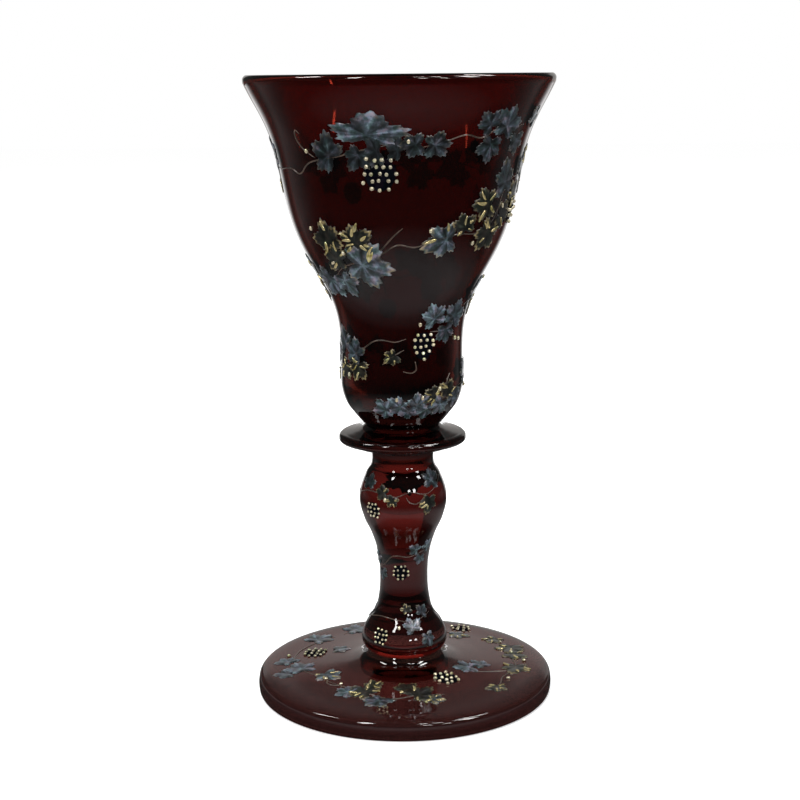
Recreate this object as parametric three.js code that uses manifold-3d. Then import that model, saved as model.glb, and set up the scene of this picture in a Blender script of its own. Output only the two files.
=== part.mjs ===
// A ruby glass goblet with a grapevine garland in raised enamel.
// Four pieces of hot-worked glass are fused end to end on one axis: foot, stem, collar and bowl.
// The garland is fired onto the outside: stretches of vine with their leaves, and bunches of grapes.
// Millimetres, +Z up, origin at the centre of the foot's underside.
// A bearing is an angle round +Z in degrees, from the front (-Y) towards the right (+X).
import * as THREE from "three";
import { mergeVertices } from "three/addons/utils/BufferGeometryUtils.js";
import Module from "manifold-3d";

const wasm = await Module();
wasm.setup();

// Driving dimensions of the glass
const HEIGHT = 200;
const RIM_RADIUS = 48.6;
const LIP_RADIUS = 1.3;
const WALL = 2.6;
const BULB_HEIGHT = 106;
const CUP_FLOOR = 96;
const BOWL_BASE = 89.4;
const BOWL_BASE_RADIUS = 12;
const COLLAR_RADIUS = 20.6;
const COLLAR_EDGE_RADIUS = 1.6;
const COLLAR_EDGE_HEIGHT = 85.15;
const COLLAR_EDGE_TURN = 75;
const STEM_TOP = 80.6;
const STEM_TOP_RADIUS = 10.1;
const KNOP_RADIUS = 14.15;
const WAIST_RADIUS = 7.85;
const BASE_BULB_RADIUS = 14.1;
const FOOT_TOP = 13.2;
const FOOT_NECK_RADIUS = 12;
const FOOT_RADIUS = 48.5;
const FOOT_EDGE = 6.3;
const FOOT_EDGE_RADIUS = 1.8;
const FOOT_BOTTOM_RADIUS = 0.6;
const PONTIL_RADIUS = 13;
const PONTIL_DEPTH = 1.2;

// Driving dimensions of the enamel
const SEAT_GAP = 0.3;
const LEAF_EDGE = 0.7;
const LEAF_CROWN = 1;
const VINE_RADIUS = 0.25;
const VINE_LIFT = 0.42;
const VINE_SAG = 0.2;
const GRAPE_HEIGHT = 0.5;
const GRAPE_VALLEY = 0.3;

// Facets: sides round the axis, steps along the outlines, and how finely the enamel is cut
const BOWL_SIDES = 36;
const COLLAR_SIDES = 32;
const STEM_SIDES = 28;
const FOOT_SIDES = 40;
const BOWL_STEPS = 25;
const STEM_STEPS = 21;
const FOOT_STEPS = 7;
const LIP_STEPS = 4;
const CUP_FLOOR_STEPS = 4;
const COLLAR_FACE_STEPS = 3;
const COLLAR_EDGE_STEPS = 4;
const FOOT_EDGE_STEPS = 3;
const PONTIL_STEPS = 3;
const VINE_SIDES = 4;
const VINE_SAMPLES = 60;
const GRAPE_SIDES = 6;
const SEARCH_STEPS = 24;
const SNAP_DIGITS = 4;
const MERGE_DISTANCE = 1e-4;

const RUBY = new THREE.MeshStandardMaterial({ color: 0x38100c, roughness: 0.04, metalness: 0 });
const SILVER = new THREE.MeshStandardMaterial({ color: 0x5a5e68, roughness: 0.4, metalness: 0.6 });
const GILT = new THREE.MeshStandardMaterial({ color: 0xb89a5e, roughness: 0.3, metalness: 0.7 });

// Outlines of the glass, radius against height, each from the bottom up
function smooth(points, count) {
  const stations = points.map(([radius, height]) => new THREE.Vector2(radius, height));
  return new THREE.SplineCurve(stations).getSpacedPoints(count);
}

function round(radius, height, bend, from, to, count) {
  const start = THREE.MathUtils.degToRad(from);
  const end = THREE.MathUtils.degToRad(to);
  return new THREE.EllipseCurve(radius, height, bend, bend, start, end, to < from).getPoints(count);
}

const bowlOutline = smooth([
  [BOWL_BASE_RADIUS, BOWL_BASE],
  [15.2, 93.2],
  [18.1, 97.4],
  [19.9, BULB_HEIGHT],
  [19.1, 117.5],
  [21.1, 129.4],
  [26.4, 138],
  [32.1, 147.5],
  [35.8, 159],
  [37.4, 170],
  [39.8, 180],
  [43, 187.5],
  [46.4, 193.2],
  [RIM_RADIUS, HEIGHT - LIP_RADIUS],
], BOWL_STEPS);

const stemOutline = smooth([
  [FOOT_NECK_RADIUS, FOOT_TOP],
  [13.4, 14.8],
  [BASE_BULB_RADIUS, 17.4],
  [12.5, 22.2],
  [9.6, 26.4],
  [8.5, 30.3],
  [WAIST_RADIUS, 38.6],
  [8.6, 46.8],
  [10.4, 53],
  [12.9, 58.6],
  [KNOP_RADIUS, 65.2],
  [12.1, 73],
  [10.3, 76.2],
  [9.95, 78.4],
  [STEM_TOP_RADIUS, STEM_TOP],
], STEM_STEPS);

const footOutline = smooth([
  [FOOT_RADIUS - FOOT_EDGE_RADIUS, FOOT_EDGE],
  [36, 7],
  [24, 8.2],
  [17, 9.6],
  [13.2, 11.4],
  [FOOT_NECK_RADIUS, FOOT_TOP],
], FOOT_STEPS);

const axis = (height) => new THREE.Vector2(0, height);

// Glass pieces, turned about the axis
function turned(profile, sides) {
  const geometry = new THREE.LatheGeometry(profile, sides);
  return geometry.rotateX(Math.PI / 2);
}

// The inside of the bowl is its outside set in by the wall, at every second step, down to a round floor
function bowl() {
  const lip = round(RIM_RADIUS - LIP_RADIUS, HEIGHT - LIP_RADIUS, LIP_RADIUS, 0, 180, LIP_STEPS);
  const cup = [];
  for (let i = bowlOutline.length - 3; i > 0; i -= 2) {
    const along = bowlOutline[i + 1].clone().sub(bowlOutline[i - 1]).normalize();
    const inner = new THREE.Vector2(bowlOutline[i].x - along.y * WALL, bowlOutline[i].y + along.x * WALL);
    if (inner.y > BULB_HEIGHT) cup.push(inner);
  }
  const last = cup[cup.length - 1];
  const bottom = new THREE.EllipseCurve(0, last.y, last.x, last.y - CUP_FLOOR, 0, -Math.PI / 2, true);
  const floor = bottom.getPoints(CUP_FLOOR_STEPS);
  const outside = [axis(BOWL_BASE), ...bowlOutline, ...lip.slice(1)];
  const inside = [...cup, ...floor.slice(1, -1), axis(CUP_FLOOR)];
  return turned([...outside, ...inside], BOWL_SIDES);
}

function collar() {
  const centre = COLLAR_RADIUS - COLLAR_EDGE_RADIUS;
  const underStations = [[STEM_TOP_RADIUS, STEM_TOP], [11.5, 81.3], [15.5, 82.3], [18.6, 83.6]];
  const topStations = [[18.4, 86.7], [15.5, 87.6], [BOWL_BASE_RADIUS, BOWL_BASE]];
  const under = smooth(underStations, COLLAR_FACE_STEPS);
  const turn = COLLAR_EDGE_TURN;
  const edge = round(centre, COLLAR_EDGE_HEIGHT, COLLAR_EDGE_RADIUS, -turn, turn, COLLAR_EDGE_STEPS);
  const top = smooth(topStations, COLLAR_FACE_STEPS);
  const profile = [axis(STEM_TOP), ...under.slice(0, -1), ...edge, ...top.slice(1), axis(BOWL_BASE)];
  return turned(profile, COLLAR_SIDES);
}

function stem() {
  return turned([axis(FOOT_TOP), ...stemOutline, axis(STEM_TOP)], STEM_SIDES);
}

function foot() {
  const hollow = new THREE.EllipseCurve(0, 0, PONTIL_RADIUS, PONTIL_DEPTH, Math.PI / 2, 0, true);
  const pontil = hollow.getPoints(PONTIL_STEPS);
  const bottom = FOOT_RADIUS - FOOT_BOTTOM_RADIUS;
  const arris = round(bottom, FOOT_BOTTOM_RADIUS, FOOT_BOTTOM_RADIUS, -90, 0, 1);
  const shoulder = FOOT_EDGE - FOOT_EDGE_RADIUS;
  const edge = round(FOOT_RADIUS - FOOT_EDGE_RADIUS, shoulder, FOOT_EDGE_RADIUS, 0, 90, FOOT_EDGE_STEPS);
  const underside = [axis(PONTIL_DEPTH), ...pontil.slice(1), ...arris];
  const upperside = [...edge, ...footOutline.slice(1), axis(FOOT_TOP)];
  return turned([...underside, ...upperside], FOOT_SIDES);
}

// Enamel seats on the glass: a place is a bearing and a station, which is a height on the bowl and
// the stem and a radius on the foot. Across and along are millimetres on the glass from that place,
// to the right and up the outline, and lift is the distance off the glass.
class Glass {
  constructor(outline, station) {
    this.curve = new THREE.CatmullRomCurve3(outline.map((p) => new THREE.Vector3(p.x, p.y, 0)));
    this.length = this.curve.getLength();
    this.station = station;
  }

  lengthAt(value) {
    let low = 0;
    let high = 1;
    const rising = this.curve.getPointAt(1)[this.station] > this.curve.getPointAt(0)[this.station];
    for (let i = 0; i < SEARCH_STEPS; i++) {
      const middle = (low + high) / 2;
      const below = this.curve.getPointAt(middle)[this.station] < value;
      if (below === rising) low = middle;
      else high = middle;
    }
    return low * this.length;
  }

  point(place, across, along, lift) {
    const [bearing, value] = place;
    const share = THREE.MathUtils.clamp((this.lengthAt(value) + along) / this.length, 0, 1);
    const seat = this.curve.getPointAt(share);
    const tangent = this.curve.getTangentAt(share);
    const angle = THREE.MathUtils.degToRad(bearing) + across / seat.x;
    const radius = seat.x + tangent.y * lift;
    return new THREE.Vector3(Math.sin(angle) * radius, -Math.cos(angle) * radius, seat.y - tangent.x * lift);
  }
}

function triangles(list) {
  const geometry = new THREE.BufferGeometry();
  geometry.setAttribute("position", new THREE.Float32BufferAttribute(list.flatMap((p) => p.toArray()), 3));
  return geometry;
}

function solid(geometry) {
  const bare = geometry.clone();
  bare.deleteAttribute("normal");
  bare.deleteAttribute("uv");
  const merged = mergeVertices(bare, MERGE_DISTANCE);
  const vertProperties = new Float32Array(merged.attributes.position.array);
  const triVerts = new Uint32Array(merged.index.array);
  return new wasm.Manifold(new wasm.Mesh({ numProp: 3, vertProperties, triVerts }));
}

function fromSolid(body) {
  const mesh = body.getMesh();
  const geometry = new THREE.BufferGeometry();
  geometry.setAttribute("position", new THREE.Float32BufferAttribute(mesh.vertProperties, 3));
  geometry.setIndex(new THREE.Uint32BufferAttribute(mesh.triVerts, 1));
  return geometry;
}

// One half of a five-lobed vine leaf: degrees off its tip, and the reach there as a share of its size
const HALF_LEAF = [[0, 1], [30, 0.6], [60, 0.92], [90, 0.56], [120, 0.75], [180, 0.3]];

// A low plate with a raised middle. Turn leans the tip to the left of upright, in degrees.
function leaf(glass, [bearing, value, size, turn]) {
  const otherHalf = HALF_LEAF.slice(1, -1).reverse();
  const outline = [...HALF_LEAF, ...otherHalf.map(([off, share]) => [-off, share])];
  const corners = outline.map(([off, share]) => {
    const lean = THREE.MathUtils.degToRad(off + turn);
    return [-Math.sin(lean) * share * size, Math.cos(lean) * share * size];
  });
  const at = ([across, along], lift) => glass.point([bearing, value], across, along, SEAT_GAP + lift);
  const middle = [0, 0];
  const faces = [];
  corners.forEach((corner, k) => {
    const next = corners[(k + 1) % corners.length];
    faces.push(at(middle, LEAF_CROWN), at(corner, LEAF_EDGE), at(next, LEAF_EDGE));
    faces.push(at(middle, 0), at(next, 0), at(corner, 0));
    faces.push(at(corner, 0), at(next, 0), at(next, LEAF_EDGE));
    faces.push(at(corner, 0), at(next, LEAF_EDGE), at(corner, LEAF_EDGE));
  });
  return triangles(faces);
}

// A stretch of vine: a thin trail through the places of its leaves and out to its two free ends.
// It is cut into straight steps, short enough that none of them sags into the round glass.
function vine(glass, { ends, leaves }) {
  const stops = [ends[0], ...leaves, ends[1]].map(([bearing, value]) => new THREE.Vector2(bearing, value));
  const route = new THREE.SplineCurve(stops);
  const onGlass = (share) => {
    const stop = route.getPoint(share);
    return glass.point([stop.x, stop.y], 0, 0, SEAT_GAP + VINE_LIFT);
  };
  const rough = Array.from({ length: VINE_SAMPLES + 1 }, (_, i) => onGlass(i / VINE_SAMPLES));
  const tightest = Math.min(...rough.map((p) => Math.hypot(p.x, p.y)));
  const step = Math.sqrt(8 * VINE_SAG * tightest);
  const steps = Math.round(new THREE.CatmullRomCurve3(rough).getLength() / step);
  const path = new THREE.CatmullRomCurve3(Array.from({ length: steps + 1 }, (_, i) => onGlass(i / steps)));
  const corners = Array.from({ length: VINE_SIDES }, (_, i) => {
    const angle = (i / VINE_SIDES) * 2 * Math.PI;
    return new THREE.Vector2(Math.cos(angle) * VINE_RADIUS, Math.sin(angle) * VINE_RADIUS);
  });
  const sweep = { steps, extrudePath: path, bevelEnabled: false };
  const trail = new THREE.ExtrudeGeometry(new THREE.Shape(corners), sweep);
  const body = leaves.reduce((sum, one) => sum.add(solid(leaf(glass, one))), solid(trail));
  return fromSolid(body);
}

// A bunch of grapes: rows of pointed beads in a honeycomb on one bed of enamel, a pitch apart
function bunch(glass, { place, rows, pitch }) {
  const hexagon = Array.from({ length: GRAPE_SIDES }, (_, k) => ((k + 0.5) * 2 * Math.PI) / GRAPE_SIDES);
  const cell = pitch / Math.sqrt(3);
  const rowStep = pitch * Math.sqrt(0.75);
  const grapes = rows.flatMap((count, row) => Array.from({ length: count }, (_, i) => ({
    across: (i - (count - 1) / 2) * pitch,
    along: ((rows.length - 1) / 2 - row) * rowStep,
  })));
  const key = (from, to) => `${from} to ${to}`;
  const snap = (value) => Number(value.toFixed(SNAP_DIGITS));
  const edges = new Map();
  const faces = [];
  const at = ([across, along], lift) => glass.point(place, across, along, SEAT_GAP + lift);
  for (const { across, along } of grapes) {
    const rim = hexagon.map((angle) => [
      snap(across + cell * Math.cos(angle)),
      snap(along + cell * Math.sin(angle)),
    ]);
    for (let k = 0; k < GRAPE_SIDES; k++) {
      const next = (k + 1) % GRAPE_SIDES;
      const top = at([across, along], GRAPE_HEIGHT * pitch);
      faces.push(top, at(rim[k], GRAPE_VALLEY), at(rim[next], GRAPE_VALLEY));
      faces.push(at([across, along], 0), at(rim[next], 0), at(rim[k], 0));
      edges.set(key(rim[k], rim[next]), [rim[k], rim[next]]);
    }
  }
  // An edge that two grapes share runs both ways, so only the outer edges of the bed get a wall
  for (const [from, to] of edges.values()) {
    if (edges.has(key(to, from))) continue;
    faces.push(at(from, 0), at(to, 0), at(to, GRAPE_VALLEY));
    faces.push(at(from, 0), at(to, GRAPE_VALLEY), at(from, GRAPE_VALLEY));
  }
  return triangles(faces);
}

const onBowl = new Glass(bowlOutline, "y");
const onStem = new Glass(stemOutline, "y");
const onFoot = new Glass(footOutline, "x");

// The garland winds down the bowl to the left in three turns, then down the stem, and rings the foot.
// A leaf is bearing, station, size and turn. Each stretch of vine runs between its two ends.
const VINES = {
  bowl_vine_1: {
    glass: onBowl,
    ends: [[62, 185], [-68, 172]],
    leaves: [
      [49, 184.5, 8.4, -10],
      [41, 180, 6.2, 175],
      [16, 179, 6, -80],
      [6, 179.5, 6, 95],
      [-11, 183.5, 9.4, -6],
      [-33, 177, 8.2, 60],
    ],
  },
  bowl_vine_2: {
    glass: onBowl,
    ends: [[-76, 171.5], [-286, 168.5]],
    leaves: [
      [-98, 172, 7.8, 70],
      [-126, 171, 7.8, 20],
      [-180, 173, 8.2, 30],
      [-206, 170, 7.6, 100],
      [-258, 172, 7.8, 50],
    ],
  },
  bowl_vine_3: {
    glass: onBowl,
    ends: [[64, 171], [-56, 133]],
    leaves: [
      [58, 166.5, 7.6, 10],
      [49, 161, 7.2, 95],
      [51, 153.5, 7.6, 150],
      [24, 152, 8.4, 105],
      [-20, 144.5, 8.6, -100],
      [-41, 152, 8, 20],
      [-49, 138.5, 7.8, 170],
    ],
  },
  bowl_vine_4: {
    glass: onBowl,
    ends: [[-72, 134], [-298, 129]],
    leaves: [[-94, 138, 7.4, 60], [-132, 137, 7.4, 90], [-202, 134, 7.4, 70], [-250, 134, 7.4, 100]],
  },
  bowl_vine_5: {
    glass: onBowl,
    ends: [[66, 127], [-70, 110]],
    leaves: [[50, 126, 6, -20], [28, 126.5, 6, 15], [-10, 118.5, 3.6, 120], [-46, 114.5, 6, 60]],
  },
  bowl_vine_6: {
    glass: onBowl,
    ends: [[-82, 109], [-294, 103.5]],
    leaves: [[-104, 110.5, 5.6, 60], [-176, 110, 5.6, 110], [-240, 108.5, 5.6, 60]],
  },
  bowl_vine_7: {
    glass: onBowl,
    ends: [[60, 103], [-32, 96]],
    leaves: [[47, 101.5, 5, -20], [30, 100.5, 4.2, 60], [14, 98.8, 4.6, -60], [-14, 97.6, 4.4, 100]],
  },
  stem_vine_knop: {
    glass: onStem,
    ends: [[72, 73], [-250, 66]],
    leaves: [
      [46, 71.5, 4.6, -10],
      [-27, 69, 3.6, 80],
      [-56, 70.5, 4, 0],
      [-150, 68, 4.2, 60],
      [-215, 67.5, 4.2, 60],
    ],
  },
  stem_vine_waist: {
    glass: onStem,
    ends: [[80, 50], [-230, 40]],
    leaves: [[52, 49.4, 3, -40], [26, 49, 3, 60], [-70, 45, 3, 60], [-160, 43, 3.2, 90]],
  },
  stem_vine_base: {
    glass: onStem,
    ends: [[60, 27], [-250, 25]],
    leaves: [[38, 27.4, 3, -30], [13, 24.2, 4, 15], [-105, 25.4, 4, 60], [-190, 24, 4, 90]],
  },
  foot_vine_front: {
    glass: onFoot,
    ends: [[24, 32], [-58, 30]],
    leaves: [[8, 29, 6.4, -60], [-14, 33.5, 6.4, 150], [-27, 29.5, 6.8, 70], [-38, 30.5, 5.4, 95]],
  },
  foot_vine_right: {
    glass: onFoot,
    ends: [[130, 37], [48, 35]],
    leaves: [[112, 38.5, 6.8, 60], [84, 37, 6.8, 90], [54, 36.5, 5, 120]],
  },
  foot_vine_back: {
    glass: onFoot,
    ends: [[216, 36], [136, 32]],
    leaves: [[208, 37.5, 6.6, 90], [178, 34, 6.8, 60], [150, 31.5, 5.6, 120]],
  },
  foot_vine_left: {
    glass: onFoot,
    ends: [[-62, 26], [-138, 36]],
    leaves: [[-67, 28.5, 6, -80], [-82, 34.5, 7, 100], [-128, 38, 6.6, 90]],
  },
};

const BUNCHES = {
  bowl_grapes_1: { glass: onBowl, place: [-9, 171.5], pitch: 2.4, rows: [3, 4, 5, 4, 3, 2] },
  bowl_grapes_2: { glass: onBowl, place: [-152, 161], pitch: 2.2, rows: [3, 4, 3, 2] },
  bowl_grapes_3: { glass: onBowl, place: [-236, 158], pitch: 2.2, rows: [3, 4, 3, 2] },
  bowl_grapes_4: { glass: onBowl, place: [75, 158], pitch: 2.2, rows: [3, 4, 3, 2] },
  bowl_grapes_5: { glass: onBowl, place: [-166, 125], pitch: 2, rows: [3, 4, 3, 2] },
  bowl_grapes_6: { glass: onBowl, place: [20, 117.2], pitch: 2, rows: [3, 4, 3, 2, 1] },
  stem_grapes_knop: { glass: onStem, place: [-43, 62.8], pitch: 1.5, rows: [3, 4, 3, 2] },
  stem_grapes_waist: { glass: onStem, place: [-7, 41.2], pitch: 1.5, rows: [3, 4, 3, 2] },
  stem_grapes_base: { glass: onStem, place: [-35, 20.4], pitch: 1.5, rows: [3, 4, 3, 2] },
  foot_grapes_left: { glass: onFoot, place: [-108, 31.5], pitch: 2.2, rows: [3, 4, 3, 2] },
  foot_grapes_right: { glass: onFoot, place: [38, 22], pitch: 2.2, rows: [3, 4, 3, 2] },
  foot_grapes_back: { glass: onFoot, place: [150, 40], pitch: 2.2, rows: [3, 4, 3] },
};

// Assembly
const goblet = new THREE.Group();
goblet.name = "goblet";

function place(name, geometry, material) {
  const mesh = new THREE.Mesh(geometry, material);
  mesh.name = name;
  goblet.add(mesh);
}

place("foot", foot(), RUBY);
place("stem", stem(), RUBY);
place("collar", collar(), RUBY);
place("bowl", bowl(), RUBY);
for (const [name, { glass, ...parts }] of Object.entries(VINES)) place(name, vine(glass, parts), SILVER);
for (const [name, { glass, ...parts }] of Object.entries(BUNCHES)) place(name, bunch(glass, parts), GILT);

export default goblet;
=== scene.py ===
# %% [markdown]
# # A ruby goblet with an enamel grapevine
# The goblet is four pieces of dark red glass, fused end to end, with a vine of raised enamel fired onto
# the outside. The CAD solids come in first as a frame. Every piece below is built in that same frame, in
# metres, and takes the place of the CAD solid that it refines.

# %% Load the frame
import bisect
import math
import random
import bpy
import bmesh
from mathutils import Matrix, Vector


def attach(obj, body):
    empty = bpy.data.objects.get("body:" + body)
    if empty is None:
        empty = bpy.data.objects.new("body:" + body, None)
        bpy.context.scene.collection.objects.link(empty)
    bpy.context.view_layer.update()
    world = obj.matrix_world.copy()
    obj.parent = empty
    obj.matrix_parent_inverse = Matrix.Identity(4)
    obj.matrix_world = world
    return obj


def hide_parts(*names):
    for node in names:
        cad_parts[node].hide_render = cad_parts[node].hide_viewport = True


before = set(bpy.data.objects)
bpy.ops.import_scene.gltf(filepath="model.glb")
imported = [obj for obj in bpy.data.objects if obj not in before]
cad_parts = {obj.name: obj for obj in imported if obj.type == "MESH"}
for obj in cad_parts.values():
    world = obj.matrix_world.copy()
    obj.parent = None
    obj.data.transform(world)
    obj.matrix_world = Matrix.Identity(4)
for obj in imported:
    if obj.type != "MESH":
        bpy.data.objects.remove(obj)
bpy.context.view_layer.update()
bpy.ops.object.select_all(action="DESELECT")
MM = 0.001

# %% [markdown]
# ## Camera
# The photograph is taken with a long lens at the height of the rim, so the rim is seen edge on and the
# foot from a little above. The camera stands half a metre away, looks slightly down and is rolled by half
# a degree.

# %% Camera
CAMERA_DISTANCE = 0.5086
CAMERA_HEIGHT = 0.2006
CAMERA_DOWN = math.radians(11.53)
CAMERA_YAW = math.radians(0.08)
CAMERA_ROLL = math.radians(-0.55)
CAMERA_LENS = 72.4

bpy.ops.object.camera_add(location=(0, -CAMERA_DISTANCE, CAMERA_HEIGHT))
camera = bpy.context.object
turn = Matrix.Rotation(CAMERA_YAW, 4, "Z")
tilt = Matrix.Rotation(math.pi / 2 - CAMERA_DOWN, 4, "X")
roll = Matrix.Rotation(CAMERA_ROLL, 4, "Z")
camera.rotation_euler = (turn @ tilt @ roll).to_euler()
camera.data.lens = CAMERA_LENS
bpy.context.scene.camera = camera
bpy.context.scene.view_settings.view_transform = "Standard"
print("camera lens", CAMERA_LENS, "mm")

# %% [markdown]
# ## Drawing a glass outline
# Blown glass is a solid of revolution, so each piece starts as half of its section. A Bezier curve with
# automatic handles runs smoothly through a few stations, as a turner's template does. A station marked as
# a corner keeps its sharp turn. Converting the curve to a mesh gives a string of edges, which Smooth
# Vertices can even out and which Spin turns round the axis. The stations are radius and height in
# millimetres, the same ones that the CAD solids have.

# %% Outline and spin helpers
SPIN_STEPS = 144
CURVE_STEPS = 7
SOFTEN_PASSES = 40
SOFTEN_SHARE = 0.5
MERGE_DISTANCE = 1e-6
SHARP_ANGLE = math.radians(50)


def curve_through(places, corners=()):
    """A curve through places in metres, which runs smoothly except at its corners."""
    bpy.ops.curve.primitive_bezier_curve_add()
    curve = bpy.context.object
    points = curve.data.splines[0].bezier_points
    points.add(len(places) - len(points))
    for index, place in enumerate(places):
        points[index].co = place
        kind = "VECTOR" if index in corners else "AUTO"
        points[index].handle_left_type = points[index].handle_right_type = kind
    return curve, points


def mode(name):
    bpy.ops.object.mode_set(mode=name)


def draw_outline(name, stations, corners):
    outline, _ = curve_through([(radius * MM, 0, height * MM) for radius, height in stations], corners)
    outline.name = name
    outline.data.resolution_u = CURVE_STEPS
    bpy.ops.object.convert(target="MESH")
    return bpy.context.object


def pick(piece, kind, wanted):
    """Select the wanted points or faces of a piece in edit mode."""
    shape = bmesh.from_edit_mesh(piece.data)
    bpy.ops.mesh.select_all(action="DESELECT")
    for part in getattr(shape, kind):
        part.select = wanted(part)
    bmesh.update_edit_mesh(piece.data)


def soften(piece, lowest, highest):
    """Even out the bends between two heights in millimetres, as a template is sanded."""
    mode("EDIT")
    pick(piece, "verts", lambda vertex: lowest < vertex.co.z / MM < highest)
    bpy.ops.mesh.vertices_smooth(factor=SOFTEN_SHARE, repeat=SOFTEN_PASSES)
    mode("OBJECT")


def outside_line(piece, first, last):
    """Radius, height and length along the outline in millimetres, from one station to another."""
    points = [(vertex.co.x / MM, vertex.co.z / MM) for vertex in piece.data.vertices]
    start, end = (
        min(range(len(points)), key=lambda index: math.dist(points[index], place)) for place in (first, last)
    )
    line = []
    length = 0
    for radius, height in points[start:end + 1]:
        if line:
            length += math.dist((radius, height), line[-1][:2])
        line.append((radius, height, length))
    return line


def close_up():
    """Merge the points that meet and turn all faces outwards."""
    bpy.ops.mesh.select_all(action="SELECT")
    bpy.ops.mesh.remove_doubles(threshold=MERGE_DISTANCE)
    bpy.ops.mesh.normals_make_consistent()
    mode("OBJECT")
    bpy.ops.object.transform_apply()


def spin_round(piece):
    mode("EDIT")
    bpy.ops.mesh.select_all(action="SELECT")
    bpy.ops.mesh.spin(steps=SPIN_STEPS, angle=2 * math.pi, center=(0, 0, 0), axis=(0, 0, 1))
    close_up()
    bpy.ops.object.shade_smooth_by_angle(angle=SHARP_ANGLE)
    print(piece.name, len(piece.data.polygons), "faces")


# %% [markdown]
# ## The bowl
# The bowl flares at the rim, swells, draws in to a waist and ends in a small bulb. It is blown hollow, so
# its outline climbs the outside, rolls over the lip and comes down the inside to a rounded floor.

# %% Bowl
RIM_RADIUS = 48.55
HEIGHT = 200
BOWL_BASE = 89.4
BOWL_BASE_RADIUS = 12
BOWL_OUTSIDE = [
    (BOWL_BASE_RADIUS, BOWL_BASE), (15.2, 93.2), (18.1, 97.4), (19.9, 106), (19.1, 117.5), (21.1, 129.4),
    (26.4, 138), (32.1, 147.5), (35.8, 159), (37.4, 170), (39.8, 180), (43, 187.5), (46.4, 193.2),
    (RIM_RADIUS, HEIGHT - 1.6),
]
BOWL_LIP = [(48.2, 199.5), (47.3, HEIGHT), (46.3, 199.4)]
BOWL_INSIDE = [
    (45.6, 197.8), (43.9, 194.2), (40.8, 188.9), (37.3, 180.8), (34.8, 170.4), (33.2, 159.6), (29.7, 148.8),
    (24.1, 139.6), (18.7, 130.4), (16.5, 117.6), (17.1, 106.4), (13.6, 99.3), (7, 96.5), (0, 96),
]
BOWL_SOFT_HEIGHTS = (104, 197)

bowl = draw_outline("glass_bowl", [(0, BOWL_BASE)] + BOWL_OUTSIDE + BOWL_LIP + BOWL_INSIDE, corners=(0, 1))
soften(bowl, *BOWL_SOFT_HEIGHTS)
bowl_line = outside_line(bowl, BOWL_OUTSIDE[0], BOWL_OUTSIDE[-1])
spin_round(bowl)

# %% [markdown]
# ## Collar, stem and foot
# The collar is a tooled disc that hides the joint under the bowl. The stem is solid, with a knop, a slim
# waist and a bulb. The foot is a thick disc that rises to the stem in a soft cove, with a ground hollow
# underneath where the maker's iron was broken off.

# %% Collar, stem and foot
STEM_TOP = 80.6
STEM_TOP_RADIUS = 10.1
FOOT_TOP = 13.2
FOOT_NECK_RADIUS = 12
COLLAR_EDGE = [
    (11.5, 81.3), (15.5, 82.3), (18.6, 83.6), (20.1, 84.0), (20.6, 85.15), (20.1, 86.3), (18.4, 86.8),
    (15.5, 87.5), (13.2, 88.3),
]
STEM_OUTSIDE = [
    (FOOT_NECK_RADIUS, FOOT_TOP), (13.4, 14.8), (14.1, 17.4), (12.5, 22.2), (9.6, 26.4), (8.5, 30.3),
    (7.85, 38.6), (8.6, 46.8), (10.4, 53), (12.9, 58.6), (14.15, 65.2), (12.1, 73), (10.3, 76.2),
    (9.95, 78.4), (STEM_TOP_RADIUS, STEM_TOP),
]
FOOT_UNDER = [(0, 1.2), (6.5, 1), (11, 0.6), (13, 0), (47.6, 0)]
FOOT_EDGE = [(48.15, 0.4), (48.38, 1.2), (48.38, 4.2), (47.85, 5.7), (46.7, 6.3)]
FOOT_TOP_SIDE = [(46.7, 6.3), (36, 7), (24, 8.2), (17, 9.6), (13.2, 11.4), (FOOT_NECK_RADIUS, FOOT_TOP)]

collar = draw_outline(
    "glass_collar",
    [(0, STEM_TOP), (STEM_TOP_RADIUS, STEM_TOP)] + COLLAR_EDGE
    + [(BOWL_BASE_RADIUS, BOWL_BASE), (0, BOWL_BASE)],
    corners=(0, 1, 11, 12),
)
spin_round(collar)
stem = draw_outline(
    "glass_stem", [(0, FOOT_TOP)] + STEM_OUTSIDE + [(0, STEM_TOP)], corners=(0, 1, 15, 16)
)
stem_line = outside_line(stem, STEM_OUTSIDE[0], STEM_OUTSIDE[-1])
spin_round(stem)
foot = draw_outline(
    "glass_foot", FOOT_UNDER + FOOT_EDGE + FOOT_TOP_SIDE[1:] + [(0, FOOT_TOP)], corners=(3, 4, 14, 15)
)
foot_line = outside_line(foot, FOOT_TOP_SIDE[0], FOOT_TOP_SIDE[-1])
spin_round(foot)
print("foot top from radius", round(foot_line[0][0], 2), "to", round(foot_line[-1][0], 2))

# %% [markdown]
# ## Wiring nodes
# By hand, the nodes of a material are added, set and wired with the mouse. These helpers do the same: an
# input that gets another node's output is wired to it, and any other value is typed in.

# %% Node helpers
def wire(tree, node, inputs):
    """Wire or set the inputs of a node."""
    for socket, value in dict(inputs).items():
        if isinstance(value, bpy.types.NodeSocket):
            tree.links.new(value, node.inputs[socket])
        else:
            node.inputs[socket].default_value = value


def add(tree, kind, inputs=(), **options):
    node = tree.nodes.new("ShaderNode" + kind)
    for option, value in options.items():
        setattr(node, option, value)
    wire(tree, node, inputs)
    return node


def maths(tree, operation, *values):
    return add(tree, "Math", dict(enumerate(values)), operation=operation).outputs[0]


def stretch(tree, value, low, high, new_low=0, new_high=1):
    """Map a value from one range to another."""
    limits = {"From Min": low, "From Max": high, "To Min": new_low, "To Max": new_high}
    return add(tree, "MapRange", {"Value": value, **limits}).outputs["Result"]


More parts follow.
